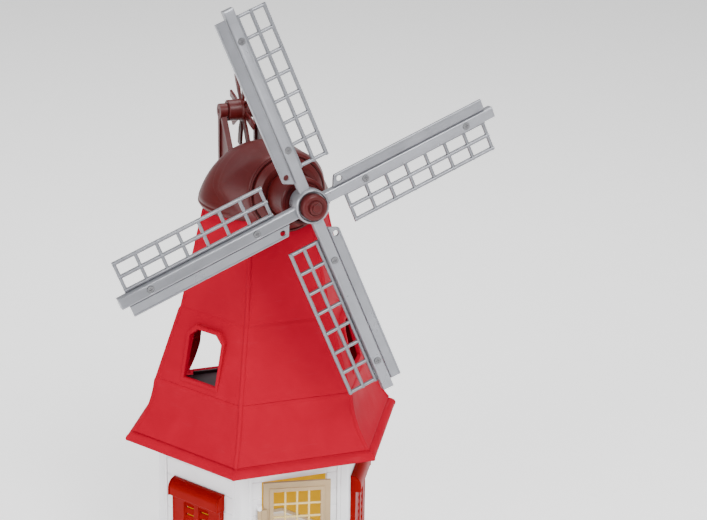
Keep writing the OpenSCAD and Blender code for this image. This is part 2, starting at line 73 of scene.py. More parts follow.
# cap
brim_z, brim_r, dome_h, dome_start, dome_t, brim_h = 319.1, 54.4, 52.0, 20.0, 2.5, 5.0
neck_r, ring_r, ring_t, barrel_r, barrel_len, barrel_front = 32.0, 28.5, 8.0, 18.5, 32.0, -18.0
neck_w = barrel_front - barrel_len - ring_t
neck_flare, neck_wide, top_room, ledge_r, ledge_t = 18.0, 46.0, 0.5, 38.0, 3.0
# sails and fan
hub_reach, hub_z, shaft_tilt, sail_turn = 114.0, 350.4, 5.9, 21.8
stock_w, lattice_w, lattice_r0, lattice_len, bar_w, cells = 8.6, 30.0, 28.9, 126.9, 2.8, 7
lattice_t, lattice_front, shaft_r, hub_r, nose_r, collar_r = 2.8, -6.4, 4.0, 13.4, 10.2, 12.5
hub_out, cup_wall, cup_depth, stock_t, sail_r = 2.5, 1.8, 3.0, 8.0, 163.8
board_w, board_t, board_down, board_hole, board_hole_r = 13.6, 2.4, 1.8, (-9.3, 28.7), 2.4
screw_at, pocket_r, pocket_depth = (47.6, 138.4), 2.95, 1.7
fan_y, fan_z, fan_r, blades, blade_w, blade_pitch = 63.5, 381.6, 34.0, 8, 6.5, 5.0
fan_hub_r, frame_gap, boss_r, boss_len, fan_plane, axle_r, first_blade = 8.8, 31.0, 6.3, 6.5, 1.6, 1.8, 33.0


# ---------- finishes ----------

def plastic(name, colour, cloud=0.06, rough=(0.34, 0.46), grain=0.12, scuff=0.06, gloss=0.5, bend=1.45,
            metal=0.0, painted_sheen=None, glow=0.0):
    """Moulded plastic. Its colour drifts in faint flow clouds about 30 mm across, and turns paler in a few
    thin rubbed streaks. Its gloss drifts with a second cloud, and its skin has a fine grain over slow sink
    waves. Where a painted sheen colour is given, faint clouds of it are mixed into the colour: a painted
    sheen. Where a glow is given, the plastic shines by its own light: painted light."""
    material = bpy.data.materials.new(name)
    material.use_nodes = True
    tree = material.node_tree
    shader = tree.nodes["Principled BSDF"]
    place = tree.nodes.new("ShaderNodeTexCoord").outputs["Object"]
    def noise(scale, detail=3.0, squeeze=(1, 1, 1), distortion=0.0):
        spread = tree.nodes.new("ShaderNodeMapping")
        spread.inputs["Scale"].default_value = squeeze
        tree.links.new(place, spread.inputs["Vector"])
        node = tree.nodes.new("ShaderNodeTexNoise")
        node.inputs["Scale"].default_value = scale
        node.inputs["Detail"].default_value = detail
        node.inputs["Distortion"].default_value = distortion
        tree.links.new(spread.outputs["Vector"], node.inputs["Vector"])
        return node.outputs["Fac"]
    def ramp(value, low, high, out_low=0.0, out_high=1.0):
        node = tree.nodes.new("ShaderNodeMapRange")
        limits = {"From Min": low, "From Max": high, "To Min": out_low, "To Max": out_high}
        for socket, number in limits.items():
            node.inputs[socket].default_value = number
        tree.links.new(value, node.inputs["Value"])
        return node.outputs["Result"]
    def mix(share, first, second):
        node = tree.nodes.new("ShaderNodeMix")
        node.data_type = "RGBA"
        tree.links.new(share, node.inputs["Factor"])
        for socket, value in ((node.inputs[6], first), (node.inputs[7], second)):
            if isinstance(value, tuple):
                socket.default_value = value
            else:
                tree.links.new(value, socket)
        return node.outputs[2]
    base = np.array(colour[:3])
    dark = tuple((base * (1 - cloud)).tolist()) + (1.0,)
    light = tuple(np.clip(base * (1 + cloud) + 0.01 * cloud, 0, 1).tolist()) + (1.0,)
    rubbed = tuple((base + (1 - base) * 0.22).tolist()) + (1.0,)
    flow = mix(ramp(noise(34, 4, distortion=0.8), 0.35, 0.65), dark, light)
    # painted sheen: faint clouds of a mauve colour mixed into the base colour stand in for the plastic's
    # sheen
    if painted_sheen:
        flow = mix(ramp(noise(16, 2), 0.4, 0.7, 0.0, 0.8), flow, painted_sheen)
    streaks = ramp(noise(60, 5, (1.0, 1.0, 7.0), 0.4), 0.60, 0.74, 0.0, scuff)
    colour_out = mix(streaks, flow, rubbed)
    tree.links.new(colour_out, shader.inputs["Base Color"])
    tree.links.new(ramp(noise(48, 4), 0.3, 0.7, *rough), shader.inputs["Roughness"])
    waves, skin = tree.nodes.new("ShaderNodeBump"), tree.nodes.new("ShaderNodeBump")
    waves.inputs["Strength"].default_value = 0.35
    waves.inputs["Distance"].default_value = 0.0006
    skin.inputs["Strength"].default_value = grain
    skin.inputs["Distance"].default_value = 0.0002
    tree.links.new(noise(70, 1), waves.inputs["Height"])
    tree.links.new(noise(1500, 2), skin.inputs["Height"])
    tree.links.new(waves.outputs["Normal"], skin.inputs["Normal"])
    tree.links.new(skin.outputs["Normal"], shader.inputs["Normal"])
    shader.inputs["Specular IOR Level"].default_value = gloss
    shader.inputs["IOR"].default_value = bend
    shader.inputs["Metallic"].default_value = metal
    # painted light where a glow is given: the plastic shines by its own light, though it is no lamp
    shader.inputs["Emission Color"].default_value = colour
    shader.inputs["Emission Strength"].default_value = glow
    return material

finishes = {
    "wall_white": plastic("white_wall_plastic", (0.86, 0.86, 0.88, 1), 0.03, (0.42, 0.52), gloss=0.35),
    "tower_red": plastic("red_tower_plastic", (0.355, 0.0032, 0.018, 1), 0.04, (0.40, 0.50), scuff=0.02,
                         gloss=0.06, bend=1.2),
    "shutter_red": plastic("red_shutter_plastic", (0.24, 0.0004, 0.0002, 1), 0.05, (0.36, 0.46), scuff=0.02,
                           gloss=0.15, bend=1.3),
    # painted sheen: the cap's mauve sheen is painted into its brown as faint mauve clouds
    "cap_brown": plastic("brown_cap_plastic", (0.068, 0.0034, 0.0026, 1), 0.10, (0.32, 0.42), scuff=0.03,
                         gloss=0.4, bend=1.38, painted_sheen=(0.070, 0.0062, 0.0080, 1)),
    "sail_grey": plastic("silver_sail_plastic", (0.27, 0.275, 0.30, 1), 0.05, (0.26, 0.36), metal=0.6),
    # painted light: the yellow lining glows faintly by its own light, so it looks brighter than the lamps
    # make it
    "lining_yellow": plastic("yellow_lining_plastic", (0.86, 0.56, 0.0, 1), 0.05, (0.42, 0.52), gloss=0.3,
                             glow=0.24),
    "floor_brown": plastic("dark_floor_plastic", (0.05, 0.022, 0.030, 1), 0.10, (0.40, 0.52), scuff=0.2,
                           gloss=0.4),
    "door_beige": plastic("beige_door_plastic", (0.40, 0.285, 0.155, 1), 0.05, (0.40, 0.50), gloss=0.3),
    "screw_steel": plastic("screw_steel", (0.20, 0.20, 0.21, 1), 0.1, (0.28, 0.5), grain=0.2, scuff=0.2,
                           metal=0.95)}
lattice_grey = plastic("silver_lattice_plastic", (0.20, 0.205, 0.225, 1), 0.05, (0.28, 0.38), metal=0.6)
cream = plastic("cream_bar_plastic", (0.66, 0.50, 0.20, 1), 0.05, (0.40, 0.50), gloss=0.4)


# ---------- making surfaces ----------

def plain(x, y, z):
    """Points from their three places."""
    return np.stack(np.broadcast_arrays(x, y, z), -1)

def on_wall(turn, x, out, z):
    """Along a wall, out from the tower's axis and up, turned about the axis:
    (x cos + out sin, x sin - out cos, z)."""
    c, s = math.cos(math.radians(turn)), math.sin(math.radians(turn))
    return plain(x * c + out * s, x * s - out * c, z)

def on_shaft(x, y, w):
    """Across, up and out along the tilted shaft: y and w turn about X by the shaft's angle,
    then move to the hub."""
    c, s = math.cos(math.radians(90 - shaft_tilt)), math.sin(math.radians(90 - shaft_tilt))
    return plain(x, y * c - w * s - hub_reach, y * s + w * c + hub_z)

def on_sail(number, u, v, w):
    """Across, out along and in front of a sail: (u cos - v sin, u sin + v cos) on the shaft's face."""
    a = math.radians(sail_turn + 90 * (number - 1))
    return on_shaft(u * math.cos(a) - v * math.sin(a), u * math.sin(a) + v * math.cos(a), w)

def on_fan(p, q, x):
    """Up, back and sideways about the fan's axle."""
    return plain(x, fan_y + q, fan_z + p)

def on_door(x, y, z):
    """A point of the shut door, swung open about its pin."""
    a = math.radians(-door_angle)
    c, s, dx, dy = math.cos(a), math.sin(a), x - pin_x, y - pin_y
    return plain(pin_x + dx * c - dy * s, pin_y + dx * s + dy * c, z)

def eased(outline, radius, closed=True, steps=4):
    """Rounds the corners of a flat outline: near each corner the line follows the curve
    (1-t)^2 start + 2t(1-t) corner + t^2 end, which starts and ends at most a radius from the corner."""
    p = np.asarray(outline, float)
    before, after = np.roll(p, 1, 0) - p, np.roll(p, -1, 0) - p
    reach = np.minimum(radius, 0.49 * np.linalg.norm(before, axis=1))
    start = p + before * (reach / np.maximum(np.linalg.norm(before, axis=1), 1e-9))[:, None]
    reach = np.minimum(radius, 0.49 * np.linalg.norm(after, axis=1))
    end = p + after * (reach / np.maximum(np.linalg.norm(after, axis=1), 1e-9))[:, None]
    if not closed:
        start[[0, -1]] = end[[0, -1]] = p[[0, -1]]
    t = np.linspace(0, 1, steps)[None, :, None]
    curve = (1 - t) ** 2 * start[:, None] + 2 * t * (1 - t) * p[:, None] + t ** 2 * end[:, None]
    points = curve.reshape(-1, 2)
    apart = np.linalg.norm(points - np.roll(points, 1, 0), axis=1) > 1e-4
    apart[0] = True
    return points[apart]

def tube(grid, ends="flat"):
    """Loops of points, one after another, joined by a skin. The ends are flat faces, or the last loop
    joins the first."""
    count, around = grid.shape[:2]
    number = np.arange(count * around).reshape(count, around)
    beside = np.roll(number, -1, 1)
    if ends == "joined":
        upper, upper_beside = np.roll(number, -1, 0), np.roll(beside, -1, 0)
        skin = np.stack([number, beside, upper_beside, upper], -1).reshape(-1, 4)
        return grid.reshape(-1, 3), [skin]
    skin = np.stack([number[:-1], beside[:-1], beside[1:], number[1:]], -1).reshape(-1, 4)
    return grid.reshape(-1, 3), [skin, number[:1, ::-1], number[-1:]]

def sheet(front, back, kept=None):
    """A plate between two grids of points, with a wall along every edge between a kept cell and an open
    one."""
    rows, columns = front.shape[:2]
    total = rows * columns
    kept = np.ones((rows - 1, columns - 1), bool) if kept is None else kept
    number = np.arange(total).reshape(rows, columns)
    a, b, c, d = number[:-1, :-1], number[:-1, 1:], number[1:, 1:], number[1:, :-1]
    over = np.stack([a, b, c, d], -1)[kept]
    around = np.pad(kept, 1)
    beside = (around[:-2, 1:-1], around[1:-1, 2:], around[2:, 1:-1], around[1:-1, :-2])
    edges = ((a, b), (b, c), (c, d), (d, a))
    walls = [np.stack([q, p, p + total, q + total], -1)[kept & ~other]
             for (p, q), other in zip(edges, beside)]
    faces = np.concatenate([over, over[:, ::-1] + total] + walls)
    used, faces = np.unique(faces, return_inverse=True)
    points = np.concatenate([front.reshape(-1, 3), back.reshape(-1, 3)])[used]
    return points, [faces.reshape(-1, 4)]

def extruded(outline, place, low, high):
    """A flat outline carried from one height to another: place(x, y, height)."""
    p = np.asarray(outline, float)
    heights = np.array([low, high], float)[:, None]
    return tube(place(p[None, :, 0], p[None, :, 1], heights))

def turned(profile, place, around=96, ends="flat"):
    """A profile of (radius, along) points carried round an axis: place(r cos, r sin, along)."""
    p = np.asarray(profile, float)
    a = np.linspace(0, 2 * math.pi, around, endpoint=False)[None, :]
    return tube(place(p[:, :1] * np.cos(a), p[:, :1] * np.sin(a), p[:, 1:]), ends)

def bar(place, start, end, wide, tall, level=0.0):
    """A bar with a rounded top between two points of a flat face: its section is flat below and an arch
    above."""
    start, end = np.array(start, float), np.array(end, float)
    along = (end - start) / np.linalg.norm(end - start)
    side = np.array([-along[1], along[0]])
    a = np.linspace(0, math.pi, 7)
    across = np.concatenate([[1.0], np.cos(a) * 0.98, [-1.0]]) * wide / 2
    height = np.concatenate([[0.0], 0.55 + 0.45 * np.sin(a), [0.0]]) * tall + level
    p = np.stack([start, end])[:, None, :] + across[None, :, None] * side
    return tube(place(p[..., 0], p[..., 1], np.broadcast_to(height, p.shape[:2])))

def hexagon(apothem, corner, steps=5):
    """A hexagon with rounded corners: each corner is an arc whose centre stays put as the hexagon grows."""
    apothem = np.asarray(apothem, float)[:, None]
    radius = np.asarray(corner, float)[:, None]
    middle = np.repeat(np.arange(6) * 60.0, steps)
    turn = middle + np.tile(np.linspace(-30, 30, steps), 6)
    middle, turn = np.radians(middle)[None, :], np.radians(turn)[None, :]
    centre = (apothem - radius) / K30
    return centre * np.cos(middle) + radius * np.cos(turn), centre * np.sin(middle) + radius * np.sin(turn)

def copied(node):
    """A CAD node's shape with its loose triangles joined and its flat faces made whole, in millimetres."""
    mesh = bmesh.new()
    mesh.from_mesh(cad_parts[node].data)
    bmesh.ops.remove_doubles(mesh, verts=mesh.verts, dist=2e-6)
    bmesh.ops.dissolve_limit(mesh, angle_limit=math.radians(0.5), verts=mesh.verts, edges=mesh.edges)
    mesh.verts.index_update()
    points = np.array([v.co for v in mesh.verts]) / MM
    faces = [np.array([[v.index for v in face.verts]]) for face in mesh.faces]
    mesh.free()
    return points, faces

def piece(name, parts, body, finish, nodes=(), rounding=0.0, rounds=2, crease=38, material=None):
    """Joins closed parts in one mesh in metres, turns its faces outward, rounds its edges and gives it its
    finish."""
    points, faces, start = [], [], 0
    for part_points, part_faces in parts:
        points.append(np.asarray(part_points, float).reshape(-1, 3))
        faces += [face for block in part_faces for face in (block + start).tolist()]
        start += len(points[-1])
    mesh = bpy.data.meshes.new(name)
    mesh.from_pydata(np.concatenate(points) * MM, [], faces)
    work = bmesh.new()
    work.from_mesh(mesh)
    bmesh.ops.remove_doubles(work, verts=work.verts, dist=1e-6)
    bmesh.ops.dissolve_degenerate(work, edges=work.edges, dist=1e-7)
    bmesh.ops.recalc_face_normals(work, faces=work.faces)
    work.to_mesh(mesh)
    work.free()
    mesh.materials.append(material or finishes[finish])
    mesh.shade_smooth()
    made = bpy.data.objects.new(name, mesh)
    bpy.context.collection.objects.link(made)
    if rounding:
        edge = made.modifiers.new("rounded_edges", "BEVEL")
        edge.width = rounding * MM
        edge.segments = rounds
        edge.limit_method = "ANGLE"
        edge.angle_limit = math.radians(crease)
        edge.harden_normals = True
    else:
        mesh.set_sharp_from_angle(angle=math.radians(crease))
    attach(made, body)
    if nodes:
        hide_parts(*nodes)
    return made


# ---------- house ----------

def foot_ring():
    """The ring that the walls stand on: an eased section carried round a hexagon."""
    inner = room_a - 0.4
    section = eased([[inner, 0], [house_r * K30, 0], [house_r * K30, foot_h], [inner, foot_h]], 0.7)
    x, y = hexagon(section[:, 0], 1.5 + np.maximum(section[:, 0] - inner, 0) * 0.2)
    grid = np.stack([x, y, np.broadcast_to(section[:, 1:], x.shape)], -1)
    piece("foot_ring", [tube(grid, "joined")], "mill", "wall_white", ["base_ring"])

def holed(x, z, hole):
    """The cells of a grid that a hole (left, low, right, high) leaves."""
    if not hole:
        return None
    mid_x, mid_z = (x[1:] + x[:-1]) / 2, (z[1:] + z[:-1]) / 2
    tall, wide = (mid_z > hole[1]) & (mid_z < hole[3]), (mid_x > hole[0]) & (mid_x < hole[2])
    return ~(tall[:, None] & wide[None, :])

def board_wall(turn, left, right, low=wall_z, hole=None):
    """Boards laid edge to edge: a flat face with a V groove at each whole number of boards above the foot."""
    joints = np.arange(wall_z + board_pitch, wall_top - 4, board_pitch)
    joints = joints[joints > low + 3]
    z = np.concatenate([[low, wall_top], joints - groove_w / 2, joints, joints + groove_w / 2])
    x = np.array([left, right])
    if hole:
        z, x = np.concatenate([z, [hole[1], hole[3]]]), np.concatenate([x, [hole[0], hole[2]]])
    z, x = np.unique(np.round(z, 4)), np.unique(np.round(x, 4))
    depth = np.where(np.isin(z, np.round(joints, 4)), groove_d, 0.0)
    rows, columns = z[:, None], x[None, :]
    front = on_wall(turn, columns, board_a - depth[:, None], rows)
    back = on_wall(turn, columns, board_a - wall_t, rows)
    return sheet(front, back, holed(x, z, hole))

def walls():
    """Six walls of white boards; the two at the sides have a hatch behind their shutters."""
    half = boards_w / 2
    for side in ("left", "right", "rear_left", "rear_right", "rear"):
        boards = board_wall(turns[side], -half, half, hole=hatch if side in ("left", "right") else None)
        piece(side + "_wall_boards", [boards], "mill", "wall_white", [side + "_wall"], rounding=0.25,
              crease=30)
    ears = []
    for z in (knuckle_z - ear_h - 0.3, knuckle_z + knuckle_len + 0.3):
        a = np.linspace(math.pi, 2 * math.pi, 13)
        outline = np.concatenate([np.stack([pin_x + knuckle_r * np.cos(a), pin_y + knuckle_r * np.sin(a)], 1),
                                  [[pin_x + knuckle_r, -board_a + 0.5], [pin_x - knuckle_r, -board_a + 0.5]]])
        ears.append(extruded(outline, plain, z, z + ear_h))
    piece("front_jambs", [board_wall(0, -half, -door_w / 2), board_wall(0, door_w / 2, half)] + ears, "mill",
          "wall_white", ["front_wall"], rounding=0.25, crease=30)
    piece("lintel_boards", [board_wall(0, -door_w / 2 + seat, door_w / 2 - seat, low=door_h)], "mill",
          "wall_white", ["front_lintel"], rounding=0.25, crease=30)

def posts():
    """Corner posts: an L in plan with a fine groove down each leg, carried up."""
    t, groove = wall_t + post_proud, 6.6
    leg = np.array([[groove - 0.6, 0], [groove, 0.7], [groove + 0.6, 0], [post_w, 0], [post_w, t]])
    one = np.array([house_r, 0]) + leg[:, :1] * np.array([-0.5, K30]) + leg[:, 1:] * np.array([-K30, -0.5])
    corner = [[house_r - 3, 3 * 1.732], [house_r, 0], [house_r - 3, -3 * 1.732]]
    tip = eased(corner, 1.4, closed=False, steps=6)
    outline = np.concatenate([tip[::-1], one, [[house_r - t / K30, 0]], (one * [1, -1])[::-1]])
    parts = []
    for turn in range(0, 360, 60):
        place = lambda x, y, h, turn=turn: on_wall(turn, x, -y, h)
        parts.append(extruded(outline, place, wall_z, wall_top))
    piece("corner_mouldings", parts, "mill", "wall_white", ["corner_posts"], rounding=0.2, crease=30)

def lining(turn, hole=None):
    """A mitred inner panel: its back is narrower than its front, so it meets its neighbours at the
    corners."""
    z = np.unique([wall_z, wall_top] + ([hole[1], hole[3]] if hole else []))
    outer, inner = lining_a * HALF - 0.12, room_a * HALF - 0.12
    x = [0.0] + ([hole[0], hole[2]] if hole else [])
    columns = np.unique(x + [-outer, outer])
    front = on_wall(turn, columns[None, :], lining_a, z[:, None])
    back = on_wall(turn, np.unique(x + [-inner, inner])[None, :], room_a, z[:, None])
    return sheet(front, back, holed(columns, z, hole))

def linings():
    """Yellow panels inside the boards, open at the door and behind the shutters."""
    doorway = (-door_w / 2, wall_z + 0.0001, door_w / 2, door_h)
    panels = [lining(0, doorway)] + [lining(turn) for turn in (-120, 120, 180)]
    piece("room_lining", panels, "mill", "lining_yellow", ["inner_lining"], rounding=0.2)
    piece("side_room_linings", [lining(turn, hatch) for turn in (-60, 60)], "mill", "lining_yellow",
          ["side_linings"], rounding=0.2)

def shutter(name, turn):
    """A louvred shutter: stiles and rails stand proud, and in each recess the face slopes in from a slat's
    lower edge to its upper edge, where a slot goes through. The slats are thin, with a hollow behind."""
    front = board_a + seat + shutter_t
    edge, top = shutter_w / 2, shutter_z + shutter_h
    col = np.array([louvre_in - 0.8, louvre_in, louvre_in + louvre_w, louvre_in + louvre_w + 0.8])
    x = np.concatenate([[-edge, -edge + 1.6, -edge + 2.0], -col[::-1], col, [edge - 2.0, edge - 1.6, edge]])
    low = shutter_z + 6 + np.arange(slots) * slot_pitch
    slat_z = np.stack([low, low + slot_h], 1).ravel()
    z = np.concatenate([[shutter_z, shutter_z + 3.2, shutter_z + 4], slat_z, [top - 4, top - 3.2, top]])
    depth_rows = np.concatenate([[0, 0, recess_t], np.tile([recess_t, 0.5], slots), [recess_t, 0, 0]])
    inside = (np.abs(x) > louvre_in - 0.1) & (np.abs(x) < louvre_in + louvre_w + 0.1)
    depth = np.where(inside[None, :], depth_rows[:, None], 0.0)
    groove = np.isclose(np.abs(x), edge - 1.6) | np.isclose(np.abs(x), edge - 2.0)
    within = np.abs(z - (shutter_z + top) / 2) < shutter_h / 2 - 1
    depth = np.where(groove[None, :] & within[:, None], 0.6, depth)
    mid_x, mid_z = (x[1:] + x[:-1]) / 2, (z[1:] + z[:-1]) / 2
    slot_row = ((mid_z[:, None] > low[None, :]) & (mid_z[:, None] < low[None, :] + slot_h)).any(1)
    slot_col = (np.abs(mid_x) > louvre_in) & (np.abs(mid_x) < louvre_in + louvre_w)
    kept = ~(slot_row[:, None] & slot_col[None, :])
    grid = on_wall(turn, x[None, :], front - depth, z[:, None])
    hollow = inside[None, :] & ((z > shutter_z + 3.9) & (z < top - 3.9))[:, None]
    back = on_wall(turn, x[None, :], front - np.where(hollow, depth + 1.0, shutter_t), z[:, None])
    piece(name + "_louvres", [sheet(grid, back, kept)], "mill", "shutter_red", [name], rounding=0.25,
          crease=25)

def shutter_boxes_look():
    """Roller boxes: a quarter-round section carried along each shutter's top, between two thin cheeks."""
    back, low = board_a + seat, shutter_z + shutter_h + seat
    a = np.linspace(0, math.pi / 2, 9)
    round_z, cheek_t = low + box_h - box_depth, 1.6
    def section(inset):
        r = box_depth - inset
        arc = np.stack([back + r * np.cos(a), round_z + r * np.sin(a)], 1)
        return np.concatenate([[[back, low + inset], [back + r, low + inset]], arc, [[back, round_z + r]]])
    parts, half = [], shutter_w / 2 + 1
    for turn in (-60, 60):
        place = lambda out, z, x, turn=turn: on_wall(turn, x, out, z)
        parts.append(extruded(section(0.4), place, -half + cheek_t, half - cheek_t))
        parts += [extruded(section(0.0), place, left, left + cheek_t) for left in (-half, half - cheek_t)]
    piece("roller_boxes", parts, "mill", "shutter_red", ["shutter_boxes"], rounding=0.7, rounds=3, crease=30)


# ---------- door ----------

def door():
    """The leaf is a plate with a raised frame round its window; its hinge barrel and pin are turned."""
    half, low, high = door_w / 2 - door_gap, foot_h + leaf_lift, door_h - door_gap
    face = -(board_a + leaf_out)
    rim, pane, sill = pane_rim, pane_w / 2, pane_top - pane_h
    x = np.array([0.0, pane, pane + rim, pane + rim + 0.3, half])
    x = np.concatenate([-x[:0:-1], x])
    z = np.array([low, low + 5.7, low + 6.0, sill - rim - 5, sill - rim - 4.7, sill - rim - 0.3, sill - rim,
                  sill, pane_top, pane_top + rim, pane_top + rim + 0.3, high])
    middle_x = (np.abs(x) <= pane + rim + 0.01)[None, :]
    framed = ((z >= sill - rim - 0.01) & (z <= pane_top + rim + 0.01))[:, None] & middle_x
    sunk = ((z >= low + 5.9) & (z <= sill - rim - 4.9))[:, None] & middle_x
    out = np.where(framed, pane_rim_out, np.where(sunk, -0.6, 0.0))
    leaf = sheet(on_door(x[None, :], face - out, z[:, None]), on_door(x[None, :], face + door_t, z[:, None]),
                 holed(x, z, (-pane, sill, pane, pane_top)))
    strip = extruded([[pin_x, pin_y - 0.9], [pin_x + 6, pin_y - 0.9 + 1.4], [pin_x + 6, face + 1.0],
                      [-half + 0.1, face + 1.0], [-half + 0.1, face - 0.3], [pin_x, face - 0.3]],
                     on_door, knuckle_z, knuckle_z + knuckle_len)
    about_pin = lambda x, y, z: on_door(pin_x + x, pin_y + y, z)
    top = knuckle_z + knuckle_len
    outline = [[0, knuckle_z], [knuckle_r, knuckle_z], [knuckle_r, top], [0, top]]
    barrel = turned(eased(outline, 0.3, False), about_pin, 32)
    pin = turned([[0, knuckle_z - ear_h], [1.0, knuckle_z - ear_h], [1.0, top + ear_h], [0, top + ear_h]],
                 about_pin, 24)
    piece("door_panel", [leaf, strip, barrel, pin], "door", "door_beige", ["door_leaf"], rounding=0.25,
          crease=30)
    bars = []
    place = lambda x, z, h: on_door(x, face + 0.9 - h, z)
    for i in (-1, 0, 1):
        bars.append(bar(place, (i * pane_w / 4, sill - 0.5), (i * pane_w / 4, pane_top + 0.5), 1.7, 1.4))
        z = sill + pane_h * (i + 2) / 4
        bars.append(bar(place, (-pane - 0.5, z), (pane + 0.5, z), 1.7, 1.2))
    piece("door_window_bars", bars, "door", "door_beige", material=cream)


# ---------- tower ----------

def skirt_radius(h):
    """The flare: a straight line from the eaves to the top of the skirt, pulled in by a half sine wave."""
    return eaves_r - (eaves_r - skirt_r) * (h / skirt_h + flare * np.sin(math.pi * h / skirt_h))

def skirt_rows():
    """Corner radius and height up the skirt: a rounded rim, a groove and a ridge over it, the flare,
    a soft shoulder."""
    rim_top = skirt_radius(rim_h)
    rim = [[eaves_r - 1.4, 0], [eaves_r - 0.4, 0.4], [eaves_r, 1.4], [eaves_r - 0.2, 2.8],
           [eaves_r - 1.2, 4.4], [eaves_r - 2.8, rim_h - 1.0],
           [rim_top + 0.7, rim_h - 0.2], [rim_top - 1.3, rim_h + 0.1],
           [skirt_radius(rim_h + 1.2) - 1.3, rim_h + 1.2], [skirt_radius(rim_h + 1.6) + 0.1, rim_h + 1.6],
           [skirt_radius(rim_h + 2.2) + 0.35, rim_h + 2.2], [skirt_radius(rim_h + 3.0) + 0.25, rim_h + 3.0]]
    h = np.concatenate([np.linspace(rim_h + 4.4, skirt_h - 2.4, 19), skirt_h - np.array([1.5, 0.7, 0.0])])
    shoulder = np.interp(h, skirt_h - np.array([2.4, 1.5, 0.7, 0.0]), [0, 0.12, 0.42, 0.95])
    return np.concatenate([rim, np.stack([skirt_radius(h) - shoulder, h], 1)]) + [0, eaves_h]

def upper_rows():
    """Corner radius and height of the two upper storeys, each foot stepped in with an eased edge."""
    low = skirt_r - storey_step
    rows = [[low - 0.2, 0.1], [low - 0.3, 0.9], [low + (middle_r - low) * 0.4, middle_h * 0.4],
            [middle_r + 0.9, middle_h - 2.4], [middle_r + 0.4, middle_h - 1.5],
            [middle_r - 0.1, middle_h - 0.8],
            [middle_r - storey_step, middle_h], [middle_r - storey_step - 0.25, middle_h + 0.7],
            [middle_r - storey_step - 0.5, middle_h + 1.8], [top_r, middle_h + top_h]]
    return np.array(rows) + [0, skirt_top]

def tower_face(turn, rows, top=None, window=False):
    """One flat side of the tower: rows of points across it at each height, from hip to hip. Where it has a
    window, the columns follow the window's sides, and the cells at its top corners are pulled to the
    corners' slopes."""
    if top is not None:
        rows = np.concatenate([rows[rows[:, 1] < top], [[np.interp(top, rows[:, 1], rows[:, 0]), top]]])
    kept = None
    w = window_w / 2
    x = np.array([-1.0, -0.5, 0.0, 0.5, 1.0])
    if window:
        high = sill_z + window_h
        extra = np.array([sill_z, high - chamfer_h, high])
        rows = np.concatenate([rows, np.stack([np.interp(extra, rows[:, 1], rows[:, 0]), extra], 1)])
        rows = rows[np.argsort(rows[:, 1])]
        inner = np.array([-w, -w + chamfer_w, w - chamfer_w, w])
    apothem, z = rows[:, 0] * K30, rows[:, 1]
    def across(a):
        half = a * HALF - rib_w / 2 / K30 * 0.98
        if window:
            return np.concatenate([-half[:, None], np.broadcast_to(inner, (len(a), 4)), half[:, None]], 1)
        return half[:, None] * x
    half_x = across(apothem)
    grid_z = np.repeat(z[:, None], half_x.shape[1], 1)
    if window:
        upper, lower = int(np.argmin(abs(z - high))), int(np.argmin(abs(z - sill_z)))
        shoulder = int(np.argmin(abs(z - (high - chamfer_h))))
        kept = np.ones((len(z) - 1, half_x.shape[1] - 1), bool)
        kept[lower:upper, 1:4] = False
        kept[shoulder:upper, [1, 3]] = True
        half_x[shoulder, [2, 3]] = [-w + chamfer_w / 2, w - chamfer_w / 2]
        grid_z[shoulder, [2, 3]] = high - chamfer_h / 2
    out = np.interp(grid_z, z, apothem)
    return sheet(on_wall(turn, half_x, out, grid_z), on_wall(turn, half_x, out - shell_t, grid_z), kept)

def opening_edge(side, rows, low, high):
    """A flange along one side of the opening at the back: its edge leans in to the clear width beside the
    windows, then runs up beside the hip."""
    z = np.linspace(low, high, 12)[:, None]
    out = np.interp(z, rows[:, 1], rows[:, 0]) * K30
    at, clear = np.transpose(opening_at)
    near, far = out * HALF - 0.6, np.interp(z, at, clear)
    depth = np.array([0.3, shell_t, shell_t, 0.3])
    return tube(on_wall(180, side * np.concatenate([near, near, far, far], 1), out - depth, z))

def tower():
    """Skirt faces, upper faces, and a soft bead along each hip."""
    skirt, upper = skirt_rows(), upper_rows()
    rows = np.concatenate([skirt, upper])
    under_floor = floor_z - floor_t
    flanges = {"skirt_rear_left": (1, rows, under_floor + 0.1, skirt_top - 0.1),
               "skirt_rear_right": (-1, rows, under_floor + 0.1, skirt_top - 0.1),
               "tower_rear_left": (1, rows, skirt_top + 0.2, opening_at[-1][0]),
               "tower_rear_right": (-1, rows, skirt_top + 0.2, opening_at[-1][0])}
    def shell(name, face):
        parts = [face] + ([opening_edge(*flanges[name])] if name in flanges else [])
        piece(name + "_shell", parts, "mill", "tower_red", [name], rounding=0.2, crease=50)
    for side, turn in turns.items():
        shell("skirt_" + side, tower_face(turn, skirt, under_floor if side == "rear" else None))
    for side in ("front", "left", "right", "rear_left", "rear_right"):
        shell("tower_" + side, tower_face(turns[side], upper, window=side in ("left", "right")))
    m = rib_w / 2 + 0.5
    t = np.linspace(-m, m, 11)
    proud = np.interp(rows[:, 1] - eaves_h, [rim_h, rim_h + 4], [rib_proud, 0.85])[:, None]
    bulge = -HALF * m - 0.06 + (HALF * m + 0.06 + proud) * np.cos(math.pi / 2 * t / m) ** 0.7
    side = np.concatenate([t, [rib_w / 2, -rib_w / 2]])
    depth = np.concatenate([bulge, np.full((len(rows), 2), -shell_t / K30 - 0.3)], 1)
    beads = []
    for turn in range(0, 360, 60):
        beads.append(tube(on_wall(turn + 30, side[None, :], rows[:, :1] + depth, rows[:, 1:])))
    piece("hip_beads", beads, "mill", "tower_red", ["hip_ribs"], crease=50)

